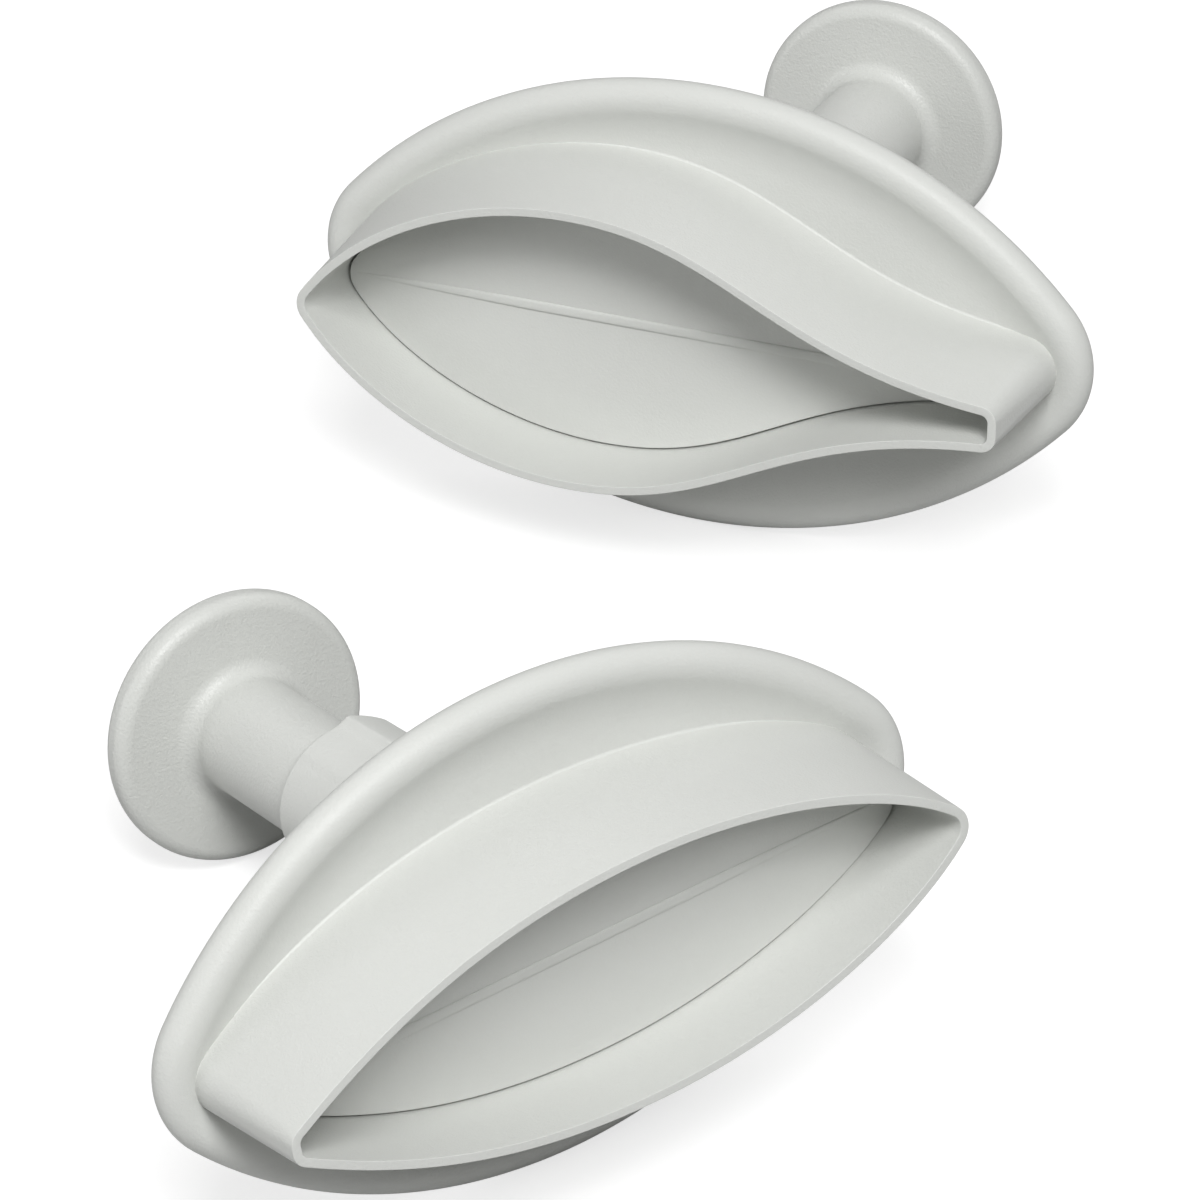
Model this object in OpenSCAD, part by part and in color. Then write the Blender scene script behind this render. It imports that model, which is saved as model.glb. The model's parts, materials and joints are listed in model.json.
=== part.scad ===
// A set of two spring plunger cutters for sugar paste, one with a wide petal and one with a narrow petal.
// Each lies on its side with its mouth towards the viewer, resting on its flange rim and its knob rim.
// Lengths are in millimetres. In the set's frame +X is right, +Y is away from the viewer and +Z is up.
// In a cutter's own frame the plunger axis is Z, the cutting edge is at z = 0 and the tip points to -X.

/* [Wide petal] */
// Length of the cutting edge from tip to tail
wide_len = 80; // [74:1:88]
// Half of the greatest width
wide_half = 16; // [14:0.1:18]
// Distance from the tip to the greatest width
wide_crown = 31.5; // [27:0.5:35]
// Half of the width of the squared tail
wide_tail = 2.6; // [2.3:0.1:3.4]
// Angle of the side where it leaves the tip
wide_tip_angle = 54; // [40:1:60]
// How far the side keeps the tip's direction
wide_tip_pull = 10.4; // [8:0.1:13]
// How far the side runs level on the tip's side of the crown
wide_crown_pull = 12.8; // [9:0.1:15]
// How far the side runs level on the tail's side of the crown
wide_shoulder_pull = 18.5; // [11:0.5:20]
// How far ahead of the tail the side starts to run into it
wide_tail_pull = 24; // [12:0.5:26]
// How much wider than the tail the side is aimed there
wide_tail_rise = 2; // [0.6:0.1:3]
// Distance of the petal's middle from the plunger axis, towards the tail
wide_shift = 1.1; // [0:0.1:3]

/* [Narrow petal] */
// Length of the cutting edge from tip to tail
narrow_len = 76.8; // [70:0.1:84]
// Half of the greatest width
narrow_half = 13; // [11:0.1:16]
// Distance from the tip to the greatest width
narrow_crown = 37; // [33:0.5:42]
// Half of the width of the squared tail
narrow_tail = 2.2; // [2:0.1:3.4]
// Angle of the side where it leaves the tip
narrow_tip_angle = 42; // [30:1:50]
// How far the side keeps the tip's direction
narrow_tip_pull = 8.3; // [6:0.1:12]
// How far the side runs level on the tip's side of the crown
narrow_crown_pull = 16.2; // [11:0.1:19]
// How far the side runs level on the tail's side of the crown
narrow_shoulder_pull = 16.2; // [9:0.1:18]
// How far ahead of the tail the side starts to run into it
narrow_tail_pull = 11; // [6:0.5:13]
// How much wider than the tail the side is aimed there
narrow_tail_rise = 6.6; // [3:0.1:7.5]
// Distance of the petal's middle from the plunger axis, towards the tail
narrow_shift = -0.7; // [-3:0.1:0]

/* [Blade] */
// Radius of the rounded tip
tip_r = 2.6; // [2.2:0.1:3.2]
// Radius of the tail's two corners
corner_r = 1.8; // [1.6:0.05:2]
// Thickness of the blade's wall
wall = 1.05; // [1:0.05:1.3]
// How much further out the blade's outer face stands at the deck
flare = 1; // [0:0.1:1.4]
// Depth from the cutting edge to the front of the deck
blade_depth = 17.4; // [16:0.1:22]

/* [Flange] */
// Thickness of the deck
deck_t = 1.6; // [1.2:0.1:2.4]
// How far the rim's centre line lies outside each end of the petal
flange_end = 2.4; // [1.6:0.1:5]
// Half of the distance across the rim's centre line
flange_half = 23.4; // [22:0.2:27]
// Radius of the flange's round ends
flange_end_r = 8.4; // [7:0.1:11]
// Radius of the round rim
rim_r = 2; // [1.6:0.1:2.6]
// Radius of the rounded channel inside the rim
channel_r = 5.5; // [3:0.1:7]
// How far the rim's centre line stands in front of the deck's face
rim_rise = 0; // [0:0.1:0.4]

/* [Collar] */
// Thickness of the collar's wall round the stem
collar_wall = 1.15; // [0.9:0.05:2]
// Length of the collar behind the deck
collar_len = 33.1; // [30:0.1:36]
// Radius of the fillet between the collar and the deck
collar_fillet = 2; // [1:0.5:3]
// Direction of the key housing round the plunger axis
key_angle = 119.5; // [0:0.5:359]
// Width of the key housing
housing_w = 4.5; // [4.4:0.1:6]
// Thickness of the housing's wall over the key at the collar's end
housing_wall = 0.95; // [0.8:0.05:2]
// How much higher the housing is at the deck
housing_rise = 0.5; // [0:0.1:3]
// Radius of the housing's rounded end
housing_end_r = 0.6; // [0.4:0.1:0.9]

/* [Plunger] */
// Depth of the pad's face behind the cutting edge at rest
pad_recess = 9.6; // [8:0.1:11]
// Thickness of the pad
pad_t = 2.2; // [1.6:0.1:3]
// Radius of the raised vein along the pad
vein_r = 1; // [0.7:0.1:1.4]
// How far the vein stands out of the pad's face
vein_rise = 0.6; // [0.3:0.1:0.7]
// Radius of the hub on the pad's back
hub_r = 7; // [6:0.5:9]
// Thickness of the ribs on the pad's back
rib_t = 1.4; // [1:0.1:2]
// Height of the ribs on the pad's back
rib_h = 3; // [2:0.1:4]
// Radius of the pad's shaft
shaft_r = 3; // [2.5:0.1:3.2]
// Length of the shaft inside the stem
shaft_grip = 20; // [12:1:24]
// Radius of the stem
stem_r = 6.2; // [6:0.1:7]
// Width of the key on the stem
key_w = 2.4; // [2:0.1:2.6]
// Height of the key above the stem
key_h = 1.1; // [0.8:0.1:1.2]
// Length of the key on the stem
key_len = 7; // [5:0.5:9]
// Radius of the knob
knob_r = 14.45; // [13:0.05:16]
// Thickness of the knob
knob_t = 3.6; // [3.4:0.1:5]
// Radius of the knob's two rounded edges
knob_edge_r = 1.5; // [1:0.1:1.7]
// Radius of the fillet between the stem and the knob
knob_fillet = 1.8; // [1:0.1:3]
// Distance from the collar's end to the knob at rest
knob_gap = 19.5; // [18:0.5:22]
// Distance that the plunger travels
travel = 12; // [9:0.5:13]

/* [Spring] */
// Length of the fitted spring at rest
spring_len = 20.5; // [19.5:0.5:23]
// Gap between the shaft and the coil
coil_clear = 0.9; // [0.6:0.1:1.1]
// Radius of the wire
wire_r = 0.5; // [0.4:0.05:0.5]
// Number of turns
turns = 7; // [5:1:7]

/* [Clearances] */
// Gap between the pad and the blade's wall
pad_clear = 0.35; // [0.2:0.05:0.4]
// Gap round the stem and round the shaft where they slide
slide_clear = 0.15; // [0.05:0.05:0.2]
// Gap between the shaft and the stem's bore that grips it
grip_clear = 0.05; // [0.02:0.01:0.1]
// Gap round the key and behind it
key_clear = 0.25; // [0.15:0.05:0.3]
// Gap between the spring and its pocket
pocket_clear = 0.4; // [0.2:0.05:0.4]
// Gap at each stop and seat
seat_clear = 0.1; // [0.05:0.05:0.2]

/* [Set] */
// Turn of the wide cutter's axis to the right of straight ahead
wide_yaw = 25.5; // [0:0.1:45]
// How far the wide cutter has rolled round its axis
wide_roll = -1.4; // [-4:0.1:4]
// Turn of the narrow cutter's axis to the right of straight ahead
narrow_yaw = -32.6; // [-45:0.1:0]
// How far the narrow cutter has rolled round its axis
narrow_roll = 0; // [-4:0.1:4]
// How far the wide cutter stands to the right of the narrow one
set_across = 3.6; // [0:0.1:12]
// How far the wide cutter stands behind the narrow one
set_behind = 100; // [98:1:140]

/* [Hidden] */
$fn = 96;
PLASTIC = "#d9dad6";
STEEL = "#a8abb0";
CURVE_STEPS = 12;
ARC_STEPS = 5;
KNOB_SAMPLES = 72;
SIDE_STEPS = 26;
END_STEPS = 12;
RIM_STEPS = 9;
WEB = 1;
WIRE_SIDES = 8;
RINGS_PER_TURN = 16;
OVERLAP = 0.5;
RIGHT = 90;
HALF_TURN = 180;
FULL_TURN = 360;

deck_back = blade_depth + deck_t;
rim_z = blade_depth - rim_rise;
collar_end = deck_back + collar_len;
stem_end = deck_back + spring_len;
stop_z = stem_end - travel;
knob_front = collar_end + knob_gap;
knob_top = knob_front + knob_t;
shaft_end = stem_end + shaft_grip;
pad_back = pad_recess + pad_t;
hub_top = blade_depth - seat_clear;
collar_bore_r = stem_r + slide_clear;
collar_r = collar_bore_r + collar_wall;
coil_r = shaft_r + coil_clear + wire_r;
pocket_r = coil_r + wire_r + pocket_clear;
deck_bore_r = shaft_r + slide_clear;
stem_bore_r = shaft_r + grip_clear;
key_top = stem_r + key_h;
slot_top = key_top + key_clear;
slot_w = key_w + 2 * key_clear;
housing_low = slot_top + housing_wall;
housing_high = housing_low + housing_rise;
pad_inset = wall + pad_clear;

// A petal is a list of its sizes, and each of these functions reads one of them.
function len_of(p) = p[0];
function half_of(p) = p[1];
function crown_of(p) = p[2];
function tail_of(p) = p[3];
function tip_angle_of(p) = p[4];
function tip_pull_of(p) = p[5];
function crown_pull_of(p) = p[6];
function shoulder_pull_of(p) = p[7];
function tail_pull_of(p) = p[8];
function tail_rise_of(p) = p[9];
function shift_of(p) = p[10];
wide = [
    wide_len, wide_half, wide_crown, wide_tail, wide_tip_angle, wide_tip_pull, wide_crown_pull,
    wide_shoulder_pull, wide_tail_pull, wide_tail_rise, wide_shift
];
narrow = [
    narrow_len, narrow_half, narrow_crown, narrow_tail, narrow_tip_angle, narrow_tip_pull,
    narrow_crown_pull, narrow_shoulder_pull, narrow_tail_pull, narrow_tail_rise, narrow_shift
];

function mix(a, b, t) = (1 - t) * a + t * b;
function bezier_2(c, t) = mix(mix(c[0], c[1], t), mix(c[1], c[2], t), t);
function bezier(c, t) = mix(bezier_2([c[0], c[1], c[2]], t), bezier_2([c[1], c[2], c[3]], t), t);
function heading(c, t) =
    let (way = bezier_2([c[1], c[2], c[3]], t) - bezier_2([c[0], c[1], c[2]], t))
    way / norm(way);
function right_of(way) = [way[1], -way[0]];
function inset_point(c, t, inset) = bezier(c, t) + inset * right_of(heading(c, t));
function arc(centre, r, from, to) =
    [for (i = [0:ARC_STEPS]) let (a = mix(from, to, i / ARC_STEPS)) centre + r * [cos(a), sin(a)]];

// The upper side runs from the tip's arc over the crown to the tail's corner.
function tip_start(p) = tip_r * [1 - sin(tip_angle_of(p)), cos(tip_angle_of(p))];
function tip_curve(p) = [
    tip_start(p),
    tip_start(p) + tip_pull_of(p) * [cos(tip_angle_of(p)), sin(tip_angle_of(p))],
    [crown_of(p) - crown_pull_of(p), half_of(p)],
    [crown_of(p), half_of(p)]
];
function tail_turn(p) = atan2(tail_pull_of(p), tail_rise_of(p));
function tail_curve(p) =
    let (
        corner = [len_of(p) - corner_r, tail_of(p) - corner_r],
        a = tail_turn(p),
        end = corner + corner_r * [cos(a), sin(a)]
    )
    [
        [crown_of(p), half_of(p)],
        [crown_of(p) + shoulder_pull_of(p), half_of(p)],
        end + [-tail_pull_of(p), tail_rise_of(p)],
        end
    ];
function upper_side(p, inset) = concat(
    arc([tip_r, 0], tip_r - inset, HALF_TURN, RIGHT + tip_angle_of(p)),
    [for (i = [1:CURVE_STEPS]) inset_point(tip_curve(p), i / CURVE_STEPS, inset)],
    [for (i = [1:CURVE_STEPS - 1]) inset_point(tail_curve(p), i / CURVE_STEPS, inset)],
    arc([len_of(p) - corner_r, tail_of(p) - corner_r], corner_r - inset, tail_turn(p), 0)
);
function petal(p, inset) =
    let (side = upper_side(p, inset), n = len(side), back = len_of(p) / 2 - shift_of(p))
    concat(
        [for (q = side) q - [back, 0]],
        [for (i = [1:n - 1]) [side[n - i][0] - back, -side[n - i][1]]]
    );

// The flange's outline is two long arcs joined by two end arcs. Its middle lies under the petal's middle.
function flange_len(p) = len_of(p) / 2 + flange_end;
function end_centre(p) = flange_len(p) - flange_end_r;
function side_r(p) =
    (pow(end_centre(p), 2) + pow(flange_half, 2) - pow(flange_end_r, 2))
    / (2 * (flange_half - flange_end_r));
function side_sweep(p) = asin(end_centre(p) / (side_r(p) - flange_end_r));
function open_arc(centre, r, middle, sweep, steps) =
    [for (i = [0:steps - 1])
        let (a = mix(middle - sweep, middle + sweep, i / steps))
            centre + r * [cos(a), sin(a)]];
function flange_path(p, out) =
    let (
        sweep = side_sweep(p),
        side = [0, side_r(p) - flange_half],
        end = [end_centre(p), 0],
        shift = [shift_of(p), 0]
    )
    concat(
        open_arc(shift + end, flange_end_r + out, 0, RIGHT - sweep, END_STEPS),
        open_arc(shift - side, side_r(p) + out, RIGHT, sweep, SIDE_STEPS),
        open_arc(shift - end, flange_end_r + out, HALF_TURN, RIGHT - sweep, END_STEPS),
        open_arc(shift + side, side_r(p) + out, HALF_TURN + RIGHT, sweep, SIDE_STEPS)
    );

// A cutter lies on the line that touches the flange's rim and the far edge of its knob. Spin is its turn
// round the plunger axis, and its lower side is the rim's long arc under the axis.
narrow_spin = HALF_TURN + narrow_roll;
touch_r = knob_r - knob_edge_r;
touch_z = knob_top - knob_edge_r;
function low_side(p, spin) =
    side_r(p) - (side_r(p) - flange_half) * abs(cos(spin)) + shift_of(p) * sin(spin);
function tilt_of(p, spin) =
    let (run = touch_z - rim_z, drop = low_side(p, spin) - touch_r)
    atan2(drop, run) + asin((rim_r - knob_edge_r) / norm([run, drop]));
wide_tilt = tilt_of(wide, wide_roll);
narrow_tilt = tilt_of(narrow, narrow_spin);
wide_lift = low_side(wide, wide_roll) * cos(wide_tilt) + rim_z * sin(wide_tilt) + rim_r;
narrow_lift = low_side(narrow, narrow_spin) * cos(narrow_tilt) + rim_z * sin(narrow_tilt) + rim_r;

function turned(q, a) = [q[0] * cos(a) - q[1] * sin(a), q[0] * sin(a) + q[1] * cos(a), q[2]];
function tipped(q, tilt) = [
    q[0],
    q[2] * cos(tilt) - q[1] * sin(tilt),
    -q[1] * cos(tilt) - q[2] * sin(tilt)
];
function laid(q, spin, tilt, yaw) = turned(tipped(turned(q, spin), tilt), -yaw);

// The middle of the set in plan comes from the points that reach furthest.
function rim_points(p) = [for (q = flange_path(p, 0)) [q[0], q[1], rim_z]];
function edge_points(p) = [for (q = petal(p, 0)) [q[0], q[1], 0]];
knob_points = [for (i = [1:KNOB_SAMPLES]) turned([knob_r, 0, touch_z], i * FULL_TURN / KNOB_SAMPLES)];
function reach(p, spin, tilt, yaw, axis) = concat(
    [for (q = rim_points(p)) for (s = [-1, 1]) laid(q, spin, tilt, yaw)[axis] + s * rim_r],
    [for (q = concat(edge_points(p), knob_points)) laid(q, spin, tilt, yaw)[axis]]
);
apart = [set_across, set_behind];
function middle(axis) =
    let (all = concat(
        [for (v = reach(wide, wide_roll, wide_tilt, wide_yaw, axis)) v + apart[axis]],
        reach(narrow, narrow_spin, narrow_tilt, narrow_yaw, axis)
    ))
    (min(all) + max(all)) / 2;
narrow_at = [-middle(0), -middle(1), narrow_lift];
wide_at = [set_across - middle(0), set_behind - middle(1), wide_lift];

module lay_wide() {
    translate(wide_at)
        rotate([0, 0, -wide_yaw])
            rotate([-RIGHT - wide_tilt, 0, 0])
                rotate([0, 0, wide_roll])
                    children();
}

module lay_narrow() {
    translate(narrow_at)
        rotate([0, 0, -narrow_yaw])
            rotate([-RIGHT - narrow_tilt, 0, 0])
                rotate([0, 0, narrow_spin])
                    children();
}

// Flange with its round rim and the rounded channel inside it
channel_out = -sqrt(pow(rim_r + channel_r, 2) - pow(channel_r - rim_rise, 2));
channel_turn = atan2(channel_r - rim_rise, -channel_out);
back_turn = asin(min(1, (deck_t + rim_rise) / rim_r));

// The profile's points are [distance out from the rim's centre line, z].
flange_profile = concat(
    [[channel_out - WEB, blade_depth]],
    arc([channel_out, blade_depth - channel_r], channel_r, RIGHT, channel_turn),
    [for (i = [0:RIM_STEPS])
        let (a = mix(HALF_TURN + channel_turn, FULL_TURN + back_turn, i / RIM_STEPS))
            [rim_r * cos(a), rim_z + rim_r * sin(a)]],
    [[channel_out - WEB, deck_back]]
);

function level(path, z) = [for (q = path) [q[0], q[1], z]];

// Joins level outlines with as many points each. Where they run clockwise, they go from the highest down.
module loft(levels) {
    n = len(levels[0]);
    last = len(levels) - 1;
    skin = [for (j = [0:last - 1]) for (i = [0:n - 1])
        let (a = j * n + i, b = j * n + (i + 1) % n)
            for (face = [[a, b + n, b], [a, a + n, b + n]]) face];
    front = [for (i = [0:n - 1]) i];
    back = [for (i = [1:n]) last * n + n - i];
    polyhedron(points = [for (path = levels) for (q = path) q], faces = concat(skin, [front, back]));
}

module flange(p) {
    loft([for (q = flange_profile) level(flange_path(p, q[0]), q[1])]);
}

// Blade, which widens towards the deck
module blade(p) {
    base = blade_depth + deck_t / 2;
    difference() {
        loft([
            level(petal(p, -flare), base),
            level(petal(p, -flare), blade_depth),
            level(petal(p, 0), 0)
        ]);
        translate([0, 0, -OVERLAP])
            linear_extrude(blade_depth + OVERLAP)
                polygon(petal(p, wall));
    }
}

// Collar with the housing of its key
module collar_fillet_ring() {
    rotate_extrude()
        difference() {
            translate([collar_r - OVERLAP, -OVERLAP]) square(collar_fillet + OVERLAP);
            translate([collar_r + collar_fillet, collar_fillet]) circle(r = collar_fillet);
        }
}

module key_housing() {
    slope = (housing_high - housing_low) / collar_len;
    end_corner = collar_end - housing_end_r;
    rotate([0, 0, key_angle])
        rotate([RIGHT, 0, 0])
            translate([0, 0, -housing_w / 2])
                linear_extrude(housing_w)
                    polygon(concat(
                        [
                            [slot_top - OVERLAP, collar_end],
                            [slot_top - OVERLAP, deck_back - OVERLAP],
                            [housing_high, deck_back - OVERLAP],
                            [housing_low + slope * housing_end_r, end_corner]
                        ],
                        arc([housing_low - housing_end_r, end_corner], housing_end_r, 0, RIGHT)
                    ));
}

module collar_solid() {
    translate([0, 0, deck_back - OVERLAP]) cylinder(h = collar_len + OVERLAP, r = collar_r);
    translate([0, 0, deck_back]) collar_fillet_ring();
    key_housing();
}

module collar_hollow() {
    translate([0, 0, stop_z]) cylinder(h = collar_end - stop_z + OVERLAP, r = collar_bore_r);
    translate([0, 0, deck_back]) cylinder(h = stop_z - deck_back + OVERLAP, r = pocket_r);
    translate([0, 0, blade_depth - OVERLAP]) cylinder(h = deck_t + 2 * OVERLAP, r = deck_bore_r);
    rotate([0, 0, key_angle])
        translate([0, -slot_w / 2, stop_z - key_clear])
            cube([slot_top, slot_w, collar_end - stop_z + key_clear + OVERLAP]);
}

module cutter_body(p) {
    color(PLASTIC)
        difference() {
            union() {
                blade(p);
                flange(p);
                collar_solid();
            }
            collar_hollow();
        }
}

// Embossing pad with its shaft
module vein(p) {
    first = tip_r - len_of(p) / 2 + shift_of(p);
    run = len_of(p) - tip_r - pad_inset - corner_r;
    translate([first + vein_r, 0, pad_recess + vein_r - vein_rise])
        rotate([0, RIGHT, 0])
            cylinder(h = run - 2 * vein_r, r = vein_r);
}

module pad_ribs(p) {
    h = rib_h + OVERLAP;
    translate([0, 0, pad_back - OVERLAP])
        intersection() {
            linear_extrude(h)
                polygon(petal(p, pad_inset));
            union() {
                translate([-len_of(p), -rib_t / 2, 0]) cube([2 * len_of(p), rib_t, h]);
                translate([-rib_t / 2, -half_of(p), 0]) cube([rib_t, 2 * half_of(p), h]);
            }
        }
}

module embossing_pad(p) {
    color(PLASTIC)
        union() {
            translate([0, 0, pad_recess])
                linear_extrude(pad_t)
                    polygon(petal(p, pad_inset));
            vein(p);
            pad_ribs(p);
            translate([0, 0, pad_back - OVERLAP])
                cylinder(h = hub_top - pad_back + OVERLAP, r = hub_r);
            translate([0, 0, pad_back]) cylinder(h = shaft_end - pad_back, r = shaft_r);
        }
}

// Knob with its stem and key
module knob_fillet_ring() {
    rotate_extrude()
        difference() {
            translate([stem_r - OVERLAP, -knob_fillet]) square(knob_fillet + OVERLAP);
            translate([stem_r + knob_fillet, -knob_fillet]) circle(r = knob_fillet);
        }
}

module knob_disc() {
    rotate_extrude()
        union() {
            square([touch_r, knob_t]);
            translate([0, knob_edge_r]) square([knob_r, knob_t - 2 * knob_edge_r]);
            translate([touch_r, knob_edge_r]) circle(r = knob_edge_r);
            translate([touch_r, knob_t - knob_edge_r]) circle(r = knob_edge_r);
        }
}

module plunger_knob() {
    color(PLASTIC)
        difference() {
            union() {
                translate([0, 0, stem_end]) cylinder(h = knob_front - stem_end + OVERLAP, r = stem_r);
                translate([0, 0, knob_front]) knob_fillet_ring();
                translate([0, 0, knob_front]) knob_disc();
                rotate([0, 0, key_angle])
                    translate([0, -key_w / 2, stem_end])
                        cube([key_top, key_w, key_len]);
            }
            translate([0, 0, stem_end - OVERLAP])
                cylinder(h = shaft_grip + 2 * OVERLAP, r = stem_bore_r);
        }
}

// Return spring
module return_spring() {
    rings = turns * RINGS_PER_TURN;
    low = deck_back + seat_clear + wire_r;
    rise = spring_len - 2 * seat_clear - 2 * wire_r;
    climb = rise / (turns * 2 * PI * coil_r);
    lean = atan(climb);
    points = [for (i = [0:rings])
        let (
            a = FULL_TURN * i / RINGS_PER_TURN,
            out = [cos(a), sin(a), 0],
            up = [sin(a) * sin(lean), -cos(a) * sin(lean), cos(lean)],
            centre = coil_r * out + [0, 0, low + rise * i / rings]
        )
            for (k = [0:WIRE_SIDES - 1])
                let (b = FULL_TURN * k / WIRE_SIDES)
                    centre + wire_r * (cos(b) * out + sin(b) * up)];
    last = rings * WIRE_SIDES;
    ends = [
        [for (k = [0:WIRE_SIDES - 1]) WIRE_SIDES - 1 - k],
        [for (k = [0:WIRE_SIDES - 1]) last + k]
    ];
    sides = [for (i = [0:rings - 1]) for (k = [0:WIRE_SIDES - 1])
        let (n = (k + 1) % WIRE_SIDES, a = i * WIRE_SIDES, b = a + WIRE_SIDES)
            for (face = [[a + k, b + n, b + k], [a + k, a + n, b + n]]) face];
    color(STEEL)
        polyhedron(points = points, faces = concat(ends, sides));
}

module wide_cutter_body() {
    lay_wide() cutter_body(wide);
}

module wide_embossing_pad() {
    lay_wide() embossing_pad(wide);
}

module wide_plunger_knob() {
    lay_wide() plunger_knob();
}

module wide_return_spring() {
    lay_wide() return_spring();
}

module narrow_cutter_body() {
    lay_narrow() cutter_body(narrow);
}

module narrow_embossing_pad() {
    lay_narrow() embossing_pad(narrow);
}

module narrow_plunger_knob() {
    lay_narrow() plunger_knob();
}

module narrow_return_spring() {
    lay_narrow() return_spring();
}

echo(wide_tilt = wide_tilt, wide_at = wide_at, narrow_tilt = narrow_tilt, narrow_at = narrow_at, knob_top = knob_top);

wide_cutter_body();
wide_embossing_pad();
wide_plunger_knob();
wide_return_spring();
narrow_cutter_body();
narrow_embossing_pad();
narrow_plunger_knob();
narrow_return_spring();
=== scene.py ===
"""Looks of a set of two spring plunger cutters: one with a wide petal and one with a narrow petal.

Sizes are in millimetres in a cutter's own frame. Its Z is the plunger's axis, from the cutting edge
at z = 0 to the knob, and its -X points to the petal's tip. Every mesh is carried from there into
the CAD frame. Sizes of the materials, the floor, the lights and the camera are in metres.
"""

import json
import math
from collections import namedtuple

import bpy
from mathutils import Matrix, Vector


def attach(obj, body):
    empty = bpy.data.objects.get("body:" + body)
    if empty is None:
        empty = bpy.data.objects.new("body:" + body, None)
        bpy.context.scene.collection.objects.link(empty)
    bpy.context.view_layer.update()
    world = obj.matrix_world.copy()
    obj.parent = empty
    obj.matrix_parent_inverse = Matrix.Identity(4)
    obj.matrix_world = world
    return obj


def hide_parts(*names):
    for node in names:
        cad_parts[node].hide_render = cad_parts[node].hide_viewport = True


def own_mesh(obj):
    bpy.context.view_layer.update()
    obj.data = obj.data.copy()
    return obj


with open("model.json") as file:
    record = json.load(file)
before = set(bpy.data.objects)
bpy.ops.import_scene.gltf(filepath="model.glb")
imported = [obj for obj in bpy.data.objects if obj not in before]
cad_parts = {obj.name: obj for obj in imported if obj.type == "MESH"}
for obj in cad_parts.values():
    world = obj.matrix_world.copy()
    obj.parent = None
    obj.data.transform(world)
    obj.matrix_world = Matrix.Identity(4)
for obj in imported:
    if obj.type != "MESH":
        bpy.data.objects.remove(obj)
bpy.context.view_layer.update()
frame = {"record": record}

MM = 0.001
TURN = 2 * math.pi
UP = Vector((0, 0, 1))
SMOOTH_ANGLE = math.radians(38)
FAR = 100  # stands in for no limit
TUCK = 0.3  # how far a shell reaches into the one that it stands on
SMALL_GAP = 0.1

# Cutters. A petal runs from its round tip over the crown, its widest point, to a blunt tail.
# half and tail are half widths, tip_angle is half of the tip's angle, the pulls are the lengths of
# the outline's handles, and shift moves the petal along X against the plunger's axis. flare is how
# much the blade widens towards the deck, and roll turns the cutter about its axis.
Cutter = namedtuple(
    "Cutter",
    "length half crown tail tip_angle tip_pull crown_pull shoulder_pull tail_pull tail_rise shift "
    "flare inner_tip_r pad_tip_r vein_shift roll",
)
CUTTERS = {
    "wide": Cutter(
        length=80,
        half=16,
        crown=31.5,
        tail=2.6,
        tip_angle=math.radians(54),
        tip_pull=10.4,
        crown_pull=12.8,
        shoulder_pull=18.5,
        tail_pull=24,
        tail_rise=2,
        shift=1.1,
        flare=1,
        inner_tip_r=5,
        pad_tip_r=4.5,
        vein_shift=-0.15,
        roll=math.radians(-1.4),
    ),
    "narrow": Cutter(
        length=76.8,
        half=13,
        crown=37,
        tail=2.2,
        tip_angle=math.radians(42),
        tip_pull=8.3,
        crown_pull=16.2,
        shoulder_pull=16.2,
        tail_pull=11,
        tail_rise=6.6,
        shift=-0.7,
        flare=1.2,
        inner_tip_r=2.6,
        pad_tip_r=4,
        vein_shift=0.15,
        roll=math.radians(180),
    ),
}

# Steps of rounded shapes
TIP_STEPS = 10
SIDE_STEPS = 44
EDGE_STEPS = 4
RIB_EDGE_STEPS = 3
CHANNEL_STEPS = 7
BEAD_STEPS = 6
RIM_STEPS = 16
RIM_POINTS = 240
RIM_END_CROWDING = 1.8  # the rim's tight ends get this many times their share of its points
FILLET_STEPS = 7
KNOB_STEPS = 12
FINE_DEGREES = 24  # on each side of the key, in half degrees
COARSE_STEP = 3  # degrees, round the rest of the circle

# Blade
WALL = 0.95
WALL_DRAFT = 0.35
WALL_STEPS = 8
BLADE_DEPTH = 17.4
LIP_EDGE_R = 0.08
TIP_R = 2.6
CORNER_R = 1.8
ROOT_TIP_R = 6.4
ROOT_R = 0.25

# Flange
DECK_T = 1.6
DECK_BORE_R = 3.15
FLANGE_END = 2.4
FLANGE_HALF = 23.4
FLANGE_END_R = 8.4
RIM_R = 2
RIM_INNER_R = 3.2
CHANNEL_R = 10.5
CHANNEL_DROP = 1.5
WEB = 1

# Collar
COLLAR_LEN = 33.1
COLLAR_R = 7.5
COLLAR_BORE_R = 6.35
COLLAR_FILLET = 2
COLLAR_EDGE_R = 0.35
COLLAR_STEPS = 5
POCKET_R = 5.3
STOP_Z = 27.4

# Key, its slot and the housing round the slot
KEY_ANGLE = math.radians(119.5)
KEY_REACH = math.radians(60)
KEY_W = 2.4
KEY_TOP = 7.3
KEY_LEN = 7
SLOT_W = 2.9
SLOT_TOP = 7.55
SLOT_BLEND = 0.12
HOUSING_W = 4.8
HOUSING_LOW = 7.8
HOUSING_HIGH = 8.6
HOUSING_END_R = 0.6
HOUSING_BLEND = 0.9
HOUSING_FOOT = 2.2

# Embossing pad
PAD_RECESS = 9.6
PAD_T = 2.2
PAD_GAP = 0.22
PAD_EDGE_R = 0.12
RIB_T = 1.4
RIB_H = 3
RIB_EDGE_R = 0.25
RIB_MARGIN = 1
HUB_R = 7
HUB_EDGE_R = 0.4
SHAFT_R = 3
SHAFT_END = 59.5
SHAFT_EDGE_R = 0.5

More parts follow.
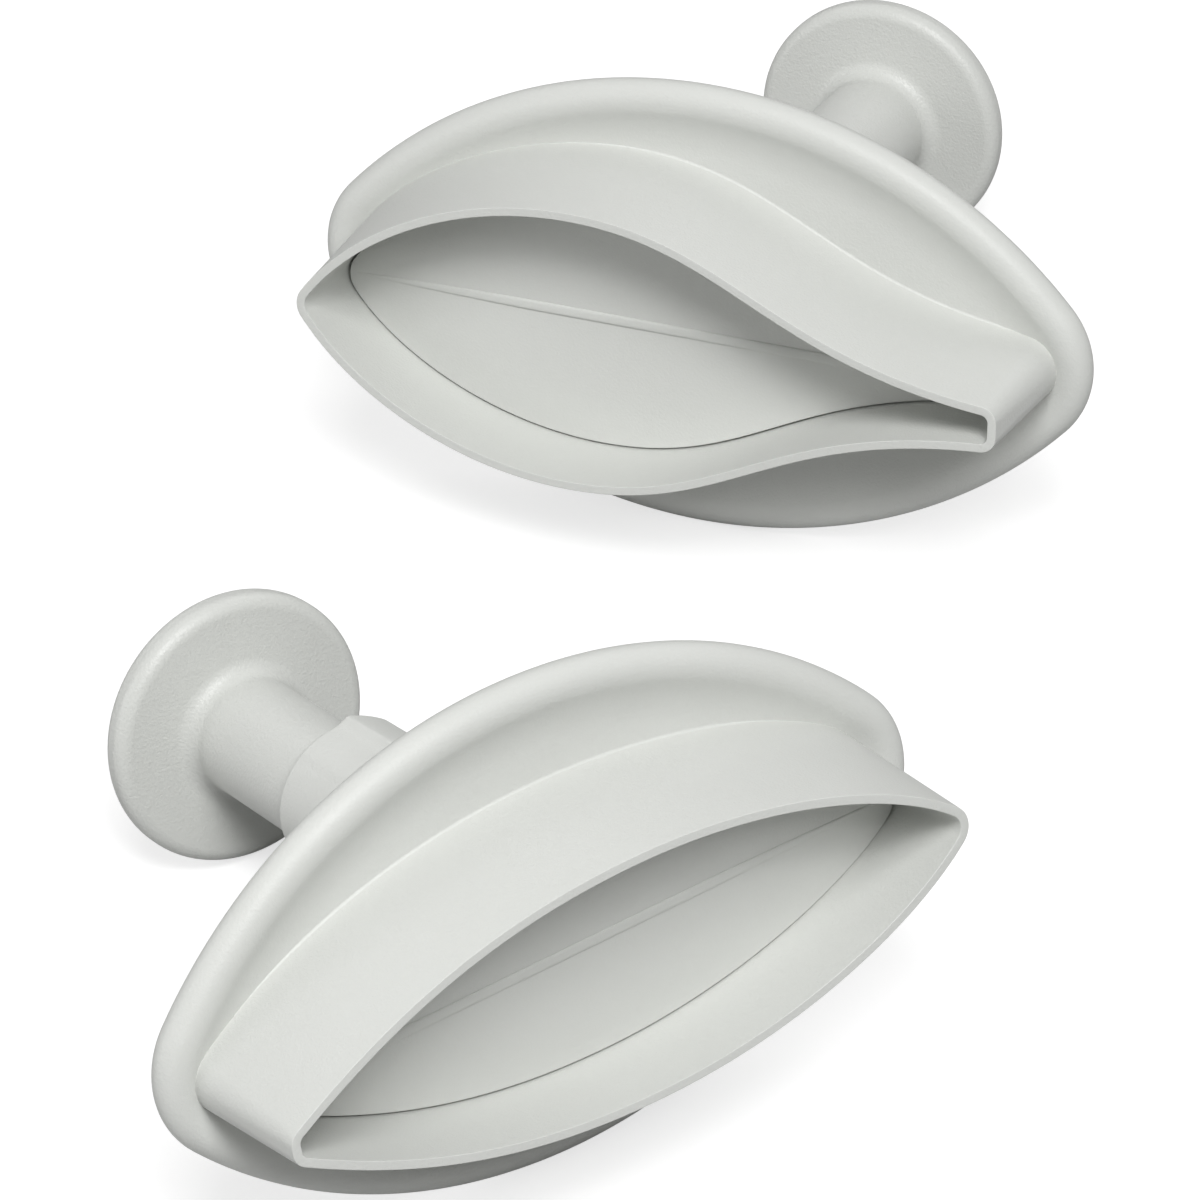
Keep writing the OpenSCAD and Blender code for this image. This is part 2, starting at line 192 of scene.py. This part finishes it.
# Vein on the pad's face
VEIN_HALF = 0.58
VEIN_RISE = 0.25
VEIN_SQUARE = 0.8
VEIN_SINK = 0.3
VEIN_TIP_FADE = 20
VEIN_TIP_START = 0.01
VEIN_TAIL_FADE = 6
VEIN_TAIL_START = 0.02
VEIN_END_GAP = 0.9
VEIN_STEPS = 64
VEIN_SIDES = 40

# Plunger knob
STEM_R = 6.2
STEM_BORE_R = 3.05
STEM_BORE_SPARE = 0.4
STEM_END = 39.5
STEM_EDGE = 0.3
KNOB_R = 14.45
KNOB_T = 3.6
KNOB_EDGE_R = 1.5
KNOB_FILLET = 1.8
KNOB_GAP = 19.5

# Return spring
COIL_R = 4.4
WIRE_R = 0.5
WIRE_SIDES = 12
STEPS_PER_TURN = 40
SPRING_TURNS = 7
CLOSED_TURNS = 1
CLOSED_PITCH = 2 * WIRE_R * 1.04

# Heights that follow from the sizes above
DECK_FRONT = BLADE_DEPTH - RIM_R + CHANNEL_DROP
DECK_BACK = BLADE_DEPTH + DECK_T
COLLAR_END = DECK_BACK + COLLAR_LEN
KNOB_FRONT = COLLAR_END + KNOB_GAP
KNOB_TOP = KNOB_FRONT + KNOB_T
PAD_BACK = PAD_RECESS + PAD_T
SPRING_LOW = DECK_BACK + SMALL_GAP
SPRING_HIGH = STEM_END - SMALL_GAP

# Materials
Plastic = namedtuple("Plastic", "light dark rough grain_depth")
PLASTICS = {
    "body_plastic": Plastic((0.64, 0.65, 0.625), (0.62, 0.63, 0.605), 0.5, 0.00009),
    "pad_plastic": Plastic((0.63, 0.64, 0.615), (0.61, 0.62, 0.595), 0.6, 0.00006),
    "knob_plastic": Plastic((0.62, 0.63, 0.605), (0.6, 0.61, 0.585), 0.38, 0.00013),
}
PLASTIC_SPECULAR = 0.45
ROUGH_SPREAD = 0.05
MOTTLE_SCALE = 45
GRAIN_SCALE = 3200
GRAIN_STRENGTH = 0.6
FLOW_SCALE = 150
FLOW_STRENGTH = 0.12
FLOW_DEPTH = 0.0002
STEEL_DARK = (0.48, 0.48, 0.5)
STEEL_LIGHT = (0.66, 0.66, 0.68)
STEEL_ROUGH_LOW = 0.24
STEEL_ROUGH_HIGH = 0.38
DRAWN_SCALE = 900
DRAWN_STRENGTH = 0.2
DRAWN_DEPTH = 0.00003
NOISE_LOW = 0.3  # most of a noise lies between these two
NOISE_HIGH = 0.7

# Floor, world, lights and camera
FLOOR_SIZE = 6
FLOOR_GLOW = 0.68
FLOOR_SHADE = 0.45
WORLD_LIGHT = 0.12
LIGHT_DISTANCE = 1.2
Light = namedtuple("Light", "name azimuth elevation size power")
LIGHTS = (
    Light("top", 0, 62, 0.4, 7.6),
    Light("front", 20, 50, 0.4, 6),
    Light("left", -75, 15, 0.6, 2.8),
    Light("back_right", 140, 40, 0.8, 2.6),
    Light("back_left", -140, 40, 0.8, 1.6),
)
CAMERA_AT = Vector((-0.0015, -0.5349, 0.4235))
CAMERA_DOWN = math.radians(37.31)
CAMERA_ROLL = math.radians(3.49)
CAMERA_LENS = 195
CAMERA_SENSOR = 36
CAMERA_NEAR = 0.05


# Curves. A curve is a list of (point, outward normal) in the XY plane.
def evenly(start, end, steps):
    """Numbers from start to end, both among them."""
    return [start + (end - start) * i / steps for i in range(steps + 1)]


def direction(angle):
    return Vector((math.cos(angle), math.sin(angle)))


def arc(centre, radius, start, end, steps):
    return [(centre + radius * direction(a), direction(a)) for a in evenly(start, end, steps)]


def bezier(a, b, c, d, steps):
    """A curve from a to d, without its first point."""
    made = []
    for t in evenly(0, 1, steps)[1:]:
        first = a.lerp(b, t).lerp(b.lerp(c, t), t)
        second = b.lerp(c, t).lerp(c.lerp(d, t), t)
        way = (second - first).normalized()
        made.append((first.lerp(second, t), Vector((-way.y, way.x))))
    return made


def mirrored(curve):
    """The curve on the other side of the X axis, from its end to its start."""
    return [(Vector((p.x, -p.y)), Vector((n.x, -n.y))) for p, n in curve[::-1]]


def petal_curve(cutter, tip_r, corner_r):
    """The closed outline, from the tip round the +Y side to the tail and back.

    A tip rounder than TIP_R stands further in, so the sides keep their places.
    """
    spare = tip_r - TIP_R
    nose = Vector((TIP_R + spare / math.sin(cutter.tip_angle), 0))
    start = nose + tip_r * direction(cutter.tip_angle + math.pi / 2)
    pull = cutter.tip_pull - spare / math.tan(cutter.tip_angle)
    crown = Vector((cutter.crown, cutter.half))
    corner = Vector((cutter.length - corner_r, cutter.tail - corner_r))
    corner_angle = math.atan2(cutter.tail_pull, cutter.tail_rise)
    end = corner + corner_r * direction(corner_angle)
    side = arc(nose, tip_r, math.pi, math.pi / 2 + cutter.tip_angle, TIP_STEPS)
    side += bezier(
        start,
        start + pull * direction(cutter.tip_angle),
        crown - Vector((cutter.crown_pull, 0)),
        crown,
        SIDE_STEPS,
    )
    side += bezier(
        crown,
        crown + Vector((cutter.shoulder_pull, 0)),
        end + Vector((-cutter.tail_pull, cutter.tail_rise)),
        end,
        SIDE_STEPS,
    )
    side += arc(corner, corner_r, corner_angle, 0, TIP_STEPS)[1:]
    back = Vector((cutter.length / 2 - cutter.shift, 0))
    side = [(p - back, n) for p, n in side]
    return side + mirrored(side[1:])


def flange_curve(cutter):
    """The rim's closed centre line, made of four arcs."""
    end_x = cutter.length / 2 + FLANGE_END - FLANGE_END_R
    side_r = (end_x**2 + FLANGE_HALF**2 - FLANGE_END_R**2) / (2 * (FLANGE_HALF - FLANGE_END_R))
    sweep = math.asin(end_x / (side_r - FLANGE_END_R))
    end_share = FLANGE_END_R * (math.pi / 2 - sweep) / (side_r * sweep)
    end_steps = round(RIM_POINTS / 4 * end_share / (1 + end_share) * RIM_END_CROWDING)
    side_steps = RIM_POINTS // 2 - 2 * end_steps
    centre = Vector((-end_x, 0))
    middle = Vector((0, FLANGE_HALF - side_r))
    side = arc(centre, FLANGE_END_R, math.pi, math.pi / 2 + sweep, end_steps)
    side += arc(middle, side_r, math.pi / 2 + sweep, math.pi / 2 - sweep, side_steps)[1:]
    side += arc(-centre, FLANGE_END_R, math.pi / 2 - sweep, 0, end_steps)[1:]
    side = [(p + Vector((cutter.shift, 0)), n) for p, n in side]
    return side + mirrored(side[1:-1])


def circle_curve(angles):
    """Only normals round one point, so a ring's radius is how far it is moved out."""
    return [(Vector((0, 0)), direction(a)) for a in angles]


def key_angles():
    """Angles round the plunger's axis, closer together near the key."""
    fine = [a / 2 for a in range(-2 * FINE_DEGREES, 2 * FINE_DEGREES + 1)]
    coarse = list(range(FINE_DEGREES + 1, 360 - FINE_DEGREES, COARSE_STEP))
    return [KEY_ANGLE + math.radians(a) for a in fine + coarse]


ANGLES = key_angles()
ROUND = circle_curve(ANGLES)


# Rings and profiles. A profile is a list of (out, z), and each of its points makes a ring.
def ring(curve, out, z):
    """The curve's points moved out along their normals, at height z.

    out may be a list with a number for each point.
    """
    outs = out if isinstance(out, list) else [out] * len(curve)
    return [Vector((*(p + o * n), z)) for (p, n), o in zip(curve, outs)]


def profile_rings(curve, profile):
    return [ring(curve, out, z) for out, z in profile]


def profile_arc(centre, radius, start, end, steps):
    """An arc of a profile. Angles are in degrees."""
    angles = [math.radians(a) for a in evenly(start, end, steps)]
    return [(centre[0] + radius * math.cos(a), centre[1] + radius * math.sin(a)) for a in angles]


def soft_max(a, b, blend):
    return (a + b + math.sqrt((a - b) ** 2 + blend**2)) / 2


def soft_min(a, b, blend):
    return -soft_max(-a, -b, blend)


def keyed_radius(angle, radius, top, width, blend, foot):
    """Radius of a round section that has a rectangular key in the direction of KEY_ANGLE.

    blend rounds the key's top edges, foot its way into the round part.
    """
    away = (angle - KEY_ANGLE + math.pi) % TURN - math.pi
    if abs(away) >= KEY_REACH:
        return radius
    side = width / 2 / max(abs(math.sin(away)), width / 2 / FAR)
    bar = soft_min(top / math.cos(away), side, blend)
    lift = soft_max(radius, bar, foot) - soft_max(radius, 0, foot)
    return radius + max(0, lift)


def keyed_radii(radius, top, width, blend=SLOT_BLEND, foot=SLOT_BLEND):
    return [keyed_radius(a, radius, top, width, blend, foot) for a in ANGLES]


# Meshes
class Shell:
    """Gathers closed skins into one mesh."""

    def __init__(self):
        self.points = []
        self.faces = []

    def loft(self, rings, closed=False):
        """Joins rings of equal length.

        A closed loft joins the last ring to the first, and another one is capped at both ends.
        """
        base = len(self.points)
        count = len(rings[0])
        for points in rings:
            self.points.extend(points)
        spans = len(rings) if closed else len(rings) - 1
        for r in range(spans):
            low = base + r * count
            high = base + (r + 1) % len(rings) * count
            for i in range(count):
                j = (i + 1) % count
                self.faces.append((low + i, low + j, high + j, high + i))
        if not closed:
            last = base + (len(rings) - 1) * count
            self.faces.append(tuple(range(base, base + count))[::-1])
            self.faces.append(tuple(range(last, last + count)))

    def piece(self, name, matrix, material):
        """Makes the object, with outward faces and shading that keeps flat faces flat."""
        mesh = bpy.data.meshes.new(name)
        mesh.from_pydata([matrix @ (p * MM) for p in self.points], [], self.faces)
        mesh.validate()
        mesh.materials.append(material)
        made = bpy.data.objects.new(name, mesh)
        bpy.context.scene.collection.objects.link(made)
        bpy.context.view_layer.objects.active = made
        bpy.ops.object.select_all(action="DESELECT")
        made.select_set(True)
        bpy.ops.object.mode_set(mode="EDIT")
        bpy.ops.mesh.select_all(action="SELECT")
        bpy.ops.mesh.normals_make_consistent(inside=False)
        bpy.ops.object.mode_set(mode="OBJECT")
        bpy.ops.object.shade_smooth_by_angle(angle=SMOOTH_ANGLE)
        weighted = made.modifiers.new("flat faces stay flat", "WEIGHTED_NORMAL")
        weighted.keep_sharp = True
        return made


# Cutter body
def blade_rings(cutter):
    """The wall turns from the lip's outline into rounder ones at the deck, and widens."""
    lip = petal_curve(cutter, TIP_R, CORNER_R)
    outer = petal_curve(cutter, ROOT_TIP_R, cutter.tail)
    inner = petal_curve(cutter, cutter.inner_tip_r, cutter.tail)

    def level(lip_out, root_out, z, root=outer):
        ends = zip(ring(lip, lip_out, z), ring(root, root_out, z))
        return [a.lerp(b, max(0, z / BLADE_DEPTH)) for a, b in ends]

    def inside(z):
        return level(-WALL, -WALL - WALL_DRAFT, z, inner)

    heights = evenly(0, DECK_FRONT - ROOT_R, WALL_STEPS)[1:]
    foot = cutter.flare + ROOT_R
    edge = profile_arc((-WALL + LIP_EDGE_R, LIP_EDGE_R), LIP_EDGE_R, 180, 270, EDGE_STEPS)
    edge += profile_arc((-LIP_EDGE_R, LIP_EDGE_R), LIP_EDGE_R, 270, 360, EDGE_STEPS)
    fillet = profile_arc((foot, DECK_FRONT - ROOT_R), ROOT_R, 180, 90, EDGE_STEPS)[1:]
    fillet.append((foot, BLADE_DEPTH + TUCK))
    rings = [inside(BLADE_DEPTH + TUCK)]
    rings += [inside(z) for z in heights[::-1]]
    rings += [level(out, out, z) for out, z in edge]
    rings += [level(0, cutter.flare, z) for z in heights]
    rings += [level(out, out, z) for out, z in fillet]
    return rings


def flange_profile():
    """The deck's front dips in a wide channel and swells into the round rim."""
    both = RIM_INNER_R + CHANNEL_R
    slope = math.acos(1 - CHANNEL_DROP / both)
    turn = math.degrees(slope)
    back = math.degrees(math.asin(DECK_T / RIM_R))
    channel = (-both * math.sin(slope), DECK_FRONT - CHANNEL_R)
    bead = (0, BLADE_DEPTH - RIM_R + RIM_INNER_R)
    web_end = channel[0] - WEB
    return (
        [(web_end, DECK_FRONT)]
        + profile_arc(channel, CHANNEL_R, 90, 90 - turn, CHANNEL_STEPS)
        + profile_arc(bead, RIM_INNER_R, 270 - turn, 270, BEAD_STEPS)[1:]
        + profile_arc((0, BLADE_DEPTH), RIM_R, 270, 360 + back, RIM_STEPS)[1:]
        + [(web_end, DECK_BACK)]
    )


def housing_top(z):
    """How far the key housing reaches from the axis. It slopes, and has a rounded end."""
    share = (COLLAR_END - z) / COLLAR_LEN
    top = HOUSING_LOW + (HOUSING_HIGH - HOUSING_LOW) * share
    beyond = max(0, z - (COLLAR_END - HOUSING_END_R))
    return top - HOUSING_END_R + math.sqrt(max(0, HOUSING_END_R**2 - beyond**2))


def collar_rings():
    """Up the outside with the key housing, and down the bore with its key slot, stop and pocket."""

    def outside(z, grow=0):
        radii = keyed_radii(COLLAR_R, housing_top(z), HOUSING_W, HOUSING_BLEND, HOUSING_FOOT)
        return ring(ROUND, [r + grow for r in radii], z)

    def inside(z, grow=0):
        radii = keyed_radii(COLLAR_BORE_R, SLOT_TOP, SLOT_W)
        return ring(ROUND, [r + grow for r in radii], z)

    foot_end = DECK_BACK + COLLAR_FILLET
    round_start = COLLAR_END - HOUSING_END_R
    edge_start = COLLAR_END - COLLAR_EDGE_R
    fillet = profile_arc((COLLAR_FILLET, foot_end), COLLAR_FILLET, 270, 180, FILLET_STEPS)
    edge = profile_arc((-COLLAR_EDGE_R, edge_start), COLLAR_EDGE_R, 0, 90, EDGE_STEPS)
    heights = evenly(foot_end, round_start, COLLAR_STEPS)[1:]
    heights += evenly(round_start, edge_start, EDGE_STEPS)[1:-1]
    rings = [outside(DECK_BACK - TUCK, COLLAR_FILLET)]
    rings += [outside(z, out) for out, z in fillet]
    rings += [outside(z) for z in heights]
    rings += [outside(z, out) for out, z in edge]
    rings += [
        inside(COLLAR_END, COLLAR_EDGE_R / 2),
        inside(COLLAR_END - COLLAR_EDGE_R / 2),
        inside(STOP_Z),
        ring(ROUND, POCKET_R, STOP_Z),
        ring(ROUND, POCKET_R, DECK_BACK - TUCK),
    ]
    return rings


def cutter_body(cutter):
    rim = flange_curve(cutter)
    bore = circle_curve([math.atan2(p.y, p.x) for p, _ in rim])
    deck = [ring(bore, DECK_BORE_R, DECK_FRONT)]
    deck += profile_rings(rim, flange_profile())
    deck += [ring(bore, DECK_BORE_R, DECK_BACK)]
    shell = Shell()
    shell.loft(blade_rings(cutter), closed=True)
    shell.loft(deck, closed=True)
    shell.loft(collar_rings(), closed=True)
    return shell


# Embossing pad
def squared(value):
    """Pushes the points of a unit circle out towards its square."""
    return math.copysign(abs(value) ** VEIN_SQUARE, value)


def vein_rings(shift, low, high):
    """A low ridge with a flat top.

    It narrows to nothing at the tip's end and sinks into the face at the other.
    """
    angles = evenly(0, TURN, VEIN_SIDES)[:-1]
    section = [(squared(math.cos(a)), squared(math.sin(a))) for a in angles]
    rings = []
    for x in evenly(low, high, VEIN_STEPS):
        taper = math.sqrt(min(1, (x - low) / VEIN_TIP_FADE + VEIN_TIP_START))
        half = VEIN_HALF * taper
        rise = VEIN_RISE * taper * min(1, (high - x) / VEIN_TAIL_FADE + VEIN_TAIL_START)
        ridge = [(half * across, (rise if up > 0 else VEIN_SINK) * up) for across, up in section]
        rings.append([Vector((x, shift + y, PAD_RECESS - up)) for y, up in ridge])
    return rings


def rib_rings(half_x, half_y, middle_x=0):
    """A rib on the pad's back, with rounded upright edges."""
    x, y = half_x - RIB_EDGE_R, half_y - RIB_EDGE_R
    outline = []
    for side_x, side_y, start in ((-x, -y, 180), (x, -y, 270), (x, y, 0), (-x, y, 90)):
        centre = (middle_x + side_x, side_y)
        outline += profile_arc(centre, RIB_EDGE_R, start, start + 90, RIB_EDGE_STEPS)
    return [[Vector((*point, z)) for point in outline] for z in (PAD_BACK - TUCK, PAD_BACK + RIB_H)]


def embossing_pad(cutter):
    share = PAD_RECESS / BLADE_DEPTH
    inset = WALL + WALL_DRAFT * share + PAD_GAP
    corner_r = CORNER_R + (cutter.tail - CORNER_R) * share
    curve = petal_curve(cutter, cutter.pad_tip_r, corner_r)
    low_x = min(p.x for p, _ in curve) + inset + VEIN_END_GAP
    high_x = max(p.x for p, _ in curve) - inset - VEIN_END_GAP
    side = profile_arc((-PAD_EDGE_R, PAD_RECESS + PAD_EDGE_R), PAD_EDGE_R, 270, 360, EDGE_STEPS)
    side += profile_arc((-PAD_EDGE_R, PAD_BACK - PAD_EDGE_R), PAD_EDGE_R, 0, 90, EDGE_STEPS)
    hub_top = BLADE_DEPTH - SMALL_GAP
    hub = (HUB_R - HUB_EDGE_R, hub_top - HUB_EDGE_R)
    shaft = (SHAFT_R - SHAFT_EDGE_R, SHAFT_END - SHAFT_EDGE_R)
    post = [(HUB_R, PAD_BACK - TUCK)] + profile_arc(hub, HUB_EDGE_R, 0, 90, EDGE_STEPS)
    post += [(SHAFT_R + SMALL_GAP, hub_top), (SHAFT_R, hub_top + SMALL_GAP)]
    post += profile_arc(shaft, SHAFT_EDGE_R, 0, 90, EDGE_STEPS)
    shell = Shell()
    shell.loft(profile_rings(curve, [(out - inset, z) for out, z in side]))
    shell.loft(vein_rings(cutter.vein_shift, low_x, high_x))
    shell.loft(rib_rings((high_x - low_x) / 2, RIB_T / 2, (low_x + high_x) / 2))
    shell.loft(rib_rings(RIB_T / 2, cutter.half - inset - RIB_MARGIN))
    shell.loft(profile_rings(ROUND, post))
    return shell


def plunger_knob():
    """The knob with its stem and key, as one skin from the end of the stem's bore to the top."""
    keyed = keyed_radii(STEM_R, KEY_TOP, KEY_W)
    key_end = STEM_END + KEY_LEN
    face_r = KNOB_R - KNOB_EDGE_R
    neck = (STEM_R + KNOB_FILLET, KNOB_FRONT - KNOB_FILLET)
    knob = profile_arc(neck, KNOB_FILLET, 180, 90, KNOB_STEPS)
    knob += profile_arc((face_r, KNOB_FRONT + KNOB_EDGE_R), KNOB_EDGE_R, -90, 0, KNOB_STEPS)
    knob += profile_arc((face_r, KNOB_TOP - KNOB_EDGE_R), KNOB_EDGE_R, 0, 90, KNOB_STEPS)
    rings = [
        ring(ROUND, STEM_BORE_R, SHAFT_END + STEM_BORE_SPARE),
        ring(ROUND, STEM_BORE_R, STEM_END),
        ring(ROUND, [r - STEM_EDGE for r in keyed], STEM_END),
        ring(ROUND, keyed, STEM_END + STEM_EDGE),
        ring(ROUND, keyed, key_end),
        ring(ROUND, STEM_R, key_end + SMALL_GAP),
    ]
    shell = Shell()
    shell.loft(rings + profile_rings(ROUND, knob))
    return shell


def spring_height(turn):
    """Height of the wire's centre after so many turns. The first and last turns are closed."""
    low, high = SPRING_LOW + WIRE_R, SPRING_HIGH - WIRE_R
    open_turns = SPRING_TURNS - 2 * CLOSED_TURNS
    pitch = (high - low - 2 * CLOSED_PITCH * CLOSED_TURNS) / open_turns
    first = min(turn, CLOSED_TURNS)
    middle = min(max(turn - CLOSED_TURNS, 0), open_turns)
    last = max(turn - CLOSED_TURNS - open_turns, 0)
    return low + CLOSED_PITCH * (first + last) + pitch * middle


def return_spring():
    section = [direction(a) for a in evenly(0, TURN, WIRE_SIDES)[:-1]]
    rings = []
    for i in range(SPRING_TURNS * STEPS_PER_TURN + 1):
        turn = i / STEPS_PER_TURN
        out = direction(TURN * turn).to_3d()
        centre = COIL_R * out + spring_height(turn) * UP
        rings.append([centre + WIRE_R * (s.x * out + s.y * UP) for s in section])
    shell = Shell()
    shell.loft(rings)
    return shell


# Materials
def noise(tree, coords, scale, detail, rough=0.5):
    made = tree.nodes.new("ShaderNodeTexNoise")
    made.inputs["Scale"].default_value = scale
    made.inputs["Detail"].default_value = detail
    made.inputs["Roughness"].default_value = rough
    tree.links.new(coords, made.inputs["Vector"])
    return made.outputs["Fac"]


def ramp(tree, value, start, end, low=NOISE_LOW, high=NOISE_HIGH):
    """Maps value from low..high to start..end, clamped."""
    made = tree.nodes.new("ShaderNodeMapRange")
    made.inputs["From Min"].default_value = low
    made.inputs["From Max"].default_value = high
    made.inputs["To Min"].default_value = start
    made.inputs["To Max"].default_value = end
    tree.links.new(value, made.inputs["Value"])
    return made.outputs["Result"]


def bump(tree, height, strength, distance, normal=None):
    made = tree.nodes.new("ShaderNodeBump")
    made.inputs["Strength"].default_value = strength
    made.inputs["Distance"].default_value = distance
    tree.links.new(height, made.inputs["Height"])
    if normal is not None:
        tree.links.new(normal, made.inputs["Normal"])
    return made.outputs["Normal"]


def mixed_colour(tree, factor, first, second):
    made = tree.nodes.new("ShaderNodeMix")
    made.data_type = "RGBA"
    made.inputs["A"].default_value = (*first, 1)
    made.inputs["B"].default_value = (*second, 1)
    tree.links.new(factor, made.inputs["Factor"])
    return made.outputs["Result"]


def new_material(name):
    material = bpy.data.materials.new(name)
    material.use_nodes = True
    tree = material.node_tree
    coords = tree.nodes.new("ShaderNodeTexCoord").outputs["Object"]
    return material, tree, tree.nodes["Principled BSDF"], coords


def plastic(name, light, dark, rough, grain_depth):
    """Satin moulded plastic: faint mottling, uneven gloss and the mould's fine sparked grain."""
    material, tree, shader, coords = new_material(name)
    mottle = noise(tree, coords, MOTTLE_SCALE, detail=3)
    grain = noise(tree, coords, GRAIN_SCALE, detail=2, rough=0.6)
    flow = noise(tree, coords, FLOW_SCALE, detail=4, rough=0.65)
    tint = mixed_colour(tree, ramp(tree, mottle, 0, 1), dark, light)
    gloss = ramp(tree, flow, rough - ROUGH_SPREAD, rough + ROUGH_SPREAD)
    waves = bump(tree, flow, FLOW_STRENGTH, FLOW_DEPTH)
    relief = bump(tree, grain, GRAIN_STRENGTH, grain_depth, waves)
    tree.links.new(tint, shader.inputs["Base Color"])
    tree.links.new(gloss, shader.inputs["Roughness"])
    tree.links.new(relief, shader.inputs["Normal"])
    shader.inputs["Specular IOR Level"].default_value = PLASTIC_SPECULAR
    return material


def spring_steel():
    """Drawn steel wire."""
    material, tree, shader, coords = new_material("spring_steel")
    drawn = noise(tree, coords, DRAWN_SCALE, detail=3)
    tint = mixed_colour(tree, drawn, STEEL_DARK, STEEL_LIGHT)
    gloss = ramp(tree, drawn, STEEL_ROUGH_LOW, STEEL_ROUGH_HIGH)
    relief = bump(tree, drawn, DRAWN_STRENGTH, DRAWN_DEPTH)
    tree.links.new(tint, shader.inputs["Base Color"])
    tree.links.new(gloss, shader.inputs["Roughness"])
    tree.links.new(relief, shader.inputs["Normal"])
    shader.inputs["Metallic"].default_value = 1
    return material


# Pieces
def cutter_matrix(name, roll):
    """Carries a cutter's own frame into the CAD frame, from the mount in the middle of its knob."""
    mount = next(m for m in frame["record"]["mounts"] if m["name"] == name + "_knob_top")
    axis = Vector(mount["axis"]).normalized()
    across = Matrix.Rotation(roll, 3, axis) @ Vector((axis.y, -axis.x, 0)).normalized()
    turned = Matrix((across, axis.cross(across), axis)).transposed()
    origin = Vector(mount["pos_m"]) - KNOB_TOP * MM * axis
    return Matrix.Translation(origin) @ turned.to_4x4(), axis


def add_cutter(name, cutter, materials):
    matrix, axis = cutter_matrix(name, cutter.roll)
    parts = (
        ("cutter_body", "cutter", "body_plastic", cutter_body(cutter)),
        ("embossing_pad", "plunger", "pad_plastic", embossing_pad(cutter)),
        ("plunger_knob", "plunger", "knob_plastic", plunger_knob()),
        ("return_spring", "cutter", "spring_steel", return_spring()),
    )
    made = {}
    for part, body, slot, shell in parts:
        piece = shell.piece(f"{name}_{part}_fine", matrix, materials[slot])
        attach(piece, f"{name}_{body}")
        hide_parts(f"{name}_{part}")
        made[part] = piece
    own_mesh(made["return_spring"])


# Floor, world, lights and camera
def floor_material():
    """A pale floor that shows shadows. The camera alone sees it glow, up to white."""
    material = bpy.data.materials.new("floor")
    material.use_nodes = True
    tree = material.node_tree
    tree.nodes.clear()
    output = tree.nodes.new("ShaderNodeOutputMaterial")
    diffuse = tree.nodes.new("ShaderNodeBsdfDiffuse")
    diffuse.inputs["Color"].default_value = (FLOOR_SHADE, FLOOR_SHADE, FLOOR_SHADE, 1)
    glow = tree.nodes.new("ShaderNodeEmission")
    glow.inputs["Strength"].default_value = FLOOR_GLOW
    both = tree.nodes.new("ShaderNodeAddShader")
    tree.links.new(diffuse.outputs[0], both.inputs[0])
    tree.links.new(glow.outputs[0], both.inputs[1])
    choose = tree.nodes.new("ShaderNodeMixShader")
    path = tree.nodes.new("ShaderNodeLightPath")
    tree.links.new(path.outputs["Is Camera Ray"], choose.inputs[0])
    tree.links.new(diffuse.outputs[0], choose.inputs[1])
    tree.links.new(both.outputs[0], choose.inputs[2])
    tree.links.new(choose.outputs[0], output.inputs[0])
    return material


def add_floor():
    bpy.ops.mesh.primitive_plane_add(size=FLOOR_SIZE, location=(0, 0, 0))
    floor = bpy.context.object
    floor.name = "floor"
    floor.data.materials.append(floor_material())


def set_world():
    """A white background with only a little light of its own on the object."""
    world = bpy.data.worlds.new("studio")
    bpy.context.scene.world = world
    world.use_nodes = True
    tree = world.node_tree
    background = tree.nodes["Background"]
    background.inputs["Color"].default_value = (1, 1, 1, 1)
    path = tree.nodes.new("ShaderNodeLightPath")
    strength = ramp(tree, path.outputs["Is Camera Ray"], WORLD_LIGHT, 1, low=0, high=1)
    tree.links.new(strength, background.inputs["Strength"])


def add_light(name, azimuth, elevation, size, power):
    """A square soft light that looks at the middle of the set.

    Azimuth 0 is on the viewer's side and 90 on the right, in degrees.
    """
    a, e = math.radians(azimuth), math.radians(elevation)
    back = Vector((math.sin(a) * math.cos(e), -math.cos(a) * math.cos(e), math.sin(e)))
    data = bpy.data.lights.new(name, "AREA")
    data.size = size
    data.energy = power
    light = bpy.data.objects.new(name, data)
    light.location = back * LIGHT_DISTANCE
    light.rotation_mode = "QUATERNION"
    light.rotation_quaternion = back.to_track_quat("Z", "Y")
    bpy.context.scene.collection.objects.link(light)


def add_camera():
    """The photo's camera, from the fit of both cutters to the photo."""
    forward = Vector((0, math.cos(CAMERA_DOWN), -math.sin(CAMERA_DOWN)))
    level = Vector((1, 0, 0))
    under = forward.cross(level)
    right = math.cos(CAMERA_ROLL) * level + math.sin(CAMERA_ROLL) * under
    data = bpy.data.cameras.new("camera")
    data.lens = CAMERA_LENS
    data.sensor_width = CAMERA_SENSOR
    data.clip_start = CAMERA_NEAR
    camera = bpy.data.objects.new("camera", data)
    turned = Matrix((right, right.cross(forward), -forward)).transposed()
    camera.matrix_world = Matrix.Translation(CAMERA_AT) @ turned.to_4x4()
    bpy.context.scene.collection.objects.link(camera)
    bpy.context.scene.camera = camera


def build():
    materials = {name: plastic(name, *look) for name, look in PLASTICS.items()}
    materials["spring_steel"] = spring_steel()
    for name, cutter in CUTTERS.items():
        add_cutter(name, cutter, materials)
    add_floor()
    set_world()
    for light in LIGHTS:
        add_light(*light)
    add_camera()
    bpy.context.scene.view_settings.view_transform = "Standard"


build()
